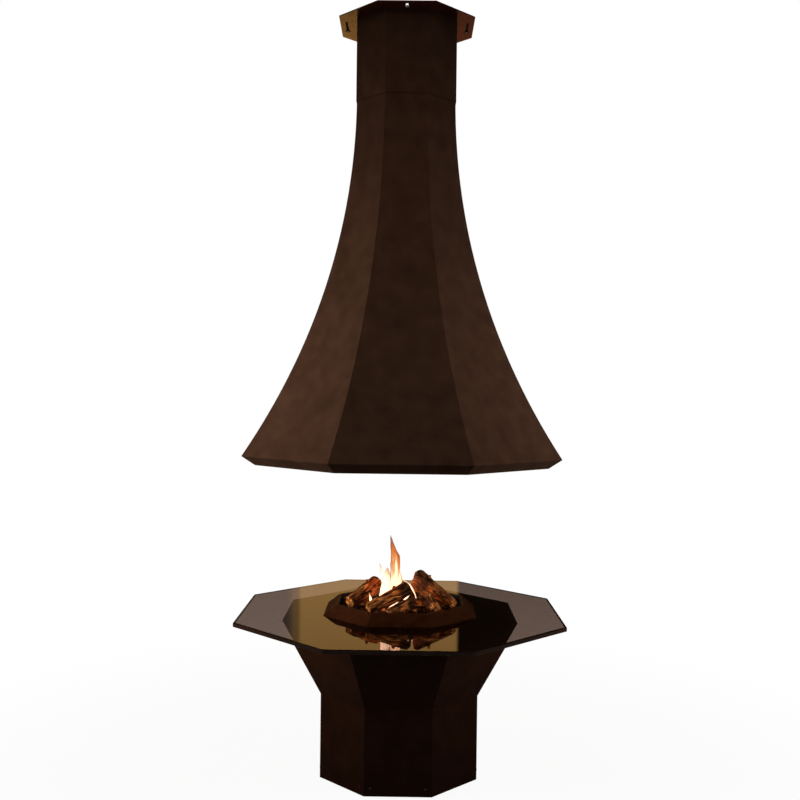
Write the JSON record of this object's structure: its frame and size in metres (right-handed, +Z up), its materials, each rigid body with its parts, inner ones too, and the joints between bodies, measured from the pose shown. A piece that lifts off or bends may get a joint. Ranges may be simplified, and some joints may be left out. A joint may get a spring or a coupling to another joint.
{
  "type": "hanging fireplace",
  "caption": "Octagonal steel hood hung from the ceiling over a glass hearth table with a gas log fire on a flared pedestal.",
  "frame": {"origin": "centre of the plinth where it stands on the floor", "axes": "+Z up, front of the fireplace towards -Y, +X to the right seen from the front, access door at +Y"},
  "size_m": [1.142, 1.142, 2.7],
  "materials": {
    "brown_paint": "satin dark brown powder coat",
    "smoked_glass": "polished, smoked",
    "zinc_steel": "zinc plated",
    "flue_steel": "mill finish",
    "black_steel": "matt heat-resistant black",
    "burner_steel": "heat tinted",
    "clear_pad": "translucent",
    "log_ceramic": "rough, glowing",
    "ember_fibre": "crumbly",
    "copper_pipe": "drawn copper",
    "brass": "machined",
    "cast_alloy": "die cast",
    "red_paint": "gloss",
    "black_plastic": "moulded",
    "ivory_plastic": "moulded",
    "red_plastic": "moulded",
    "white_ceramic": "glazed"
  },
  "bodies": {
    "root": {"ceiling_plate": "brown_paint", "ceiling_sleeve": "brown_paint", "sleeve_brackets": "zinc_steel", "bracket_screws": "zinc_steel", "hanger_rods": "zinc_steel", "rod_nuts_upper": "zinc_steel", "glass_top": "smoked_glass", "glass_pads": "clear_pad", "pedestal_flare": "brown_paint", "seam_bolts": "zinc_steel", "plinth_shell": "brown_paint", "base_frame": "zinc_steel", "base_screws": "zinc_steel", "fire_tray": "brown_paint", "burner_pan": "black_steel", "pan_feet": "black_steel", "burner_tubes": "burner_steel", "pilot_burner": "brass", "spark_electrode": "white_ceramic", "ember_bed": "ember_fibre", "log_pins": "burner_steel", "log_back_left": "log_ceramic", "log_front": "log_ceramic", "log_small": "log_ceramic", "log_back_right": "log_ceramic", "log_front_right": "log_ceramic", "ember_chunks": "ember_fibre", "gas_inlet": "flue_steel", "cock_body": "brass", "supply_pipe": "copper_pipe", "valve_bracket": "zinc_steel", "gas_valve": "cast_alloy", "gas_riser": "copper_pipe", "pilot_tube": "copper_pipe", "igniter_body": "ivory_plastic", "door_magnet": "black_plastic", "hinge_leaves": "zinc_steel", "hinge_pins": "zinc_steel"},
    "hood": {"neck_tube": "brown_paint", "flue_plate": "flue_steel", "flue_collar": "flue_steel", "rod_nuts_lower": "zinc_steel", "hood_panel_1": "brown_paint", "hood_panel_2": "brown_paint", "hood_panel_3": "brown_paint", "hood_panel_4": "brown_paint", "hood_panel_5": "brown_paint", "hood_panel_6": "brown_paint", "hood_panel_7": "brown_paint", "hood_panel_8": "brown_paint", "hood_lip": "brown_paint"},
    "door": {"door_panel": "brown_paint", "door_pull": "zinc_steel", "hinge_flaps": "zinc_steel"},
    "cock_lever": {"cock_lever": "red_paint"},
    "spindle": {"valve_spindle": "zinc_steel"},
    "knob": {"control_knob": "black_plastic"},
    "igniter_button": {"igniter_button": "red_plastic"}
  },
  "joints": [
    {"name": "hood_slide", "type": "slide", "parent": "root", "child": "hood", "axis": [0, 0, 1], "range_m": [-0.15, 0]},
    {"name": "door_hinge", "type": "hinge", "parent": "root", "child": "door", "pos_m": [-0.084, 0.2825, 0.155], "axis": [0, 0, 1], "range_deg": [0, 110]},
    {"name": "cock_lever_turn", "type": "hinge", "parent": "root", "child": "cock_lever", "pos_m": [-0.062, 0.2148, 0.08], "axis": [0, -1, 0], "range_deg": [0, 90]},
    {"name": "spindle_turn", "type": "hinge", "parent": "root", "child": "spindle", "pos_m": [0, 0.2325, 0.15], "axis": [0, 1, 0], "range_deg": [0, 180]},
    {"name": "knob_push", "type": "slide", "parent": "spindle", "child": "knob", "axis": [0, -1, 0], "range_m": [0, 0.003], "stiffness_N_per_m": 600},
    {"name": "button_push", "type": "slide", "parent": "root", "child": "igniter_button", "axis": [0, -1, 0], "range_m": [0, 0.006], "stiffness_N_per_m": 500}
  ]
}
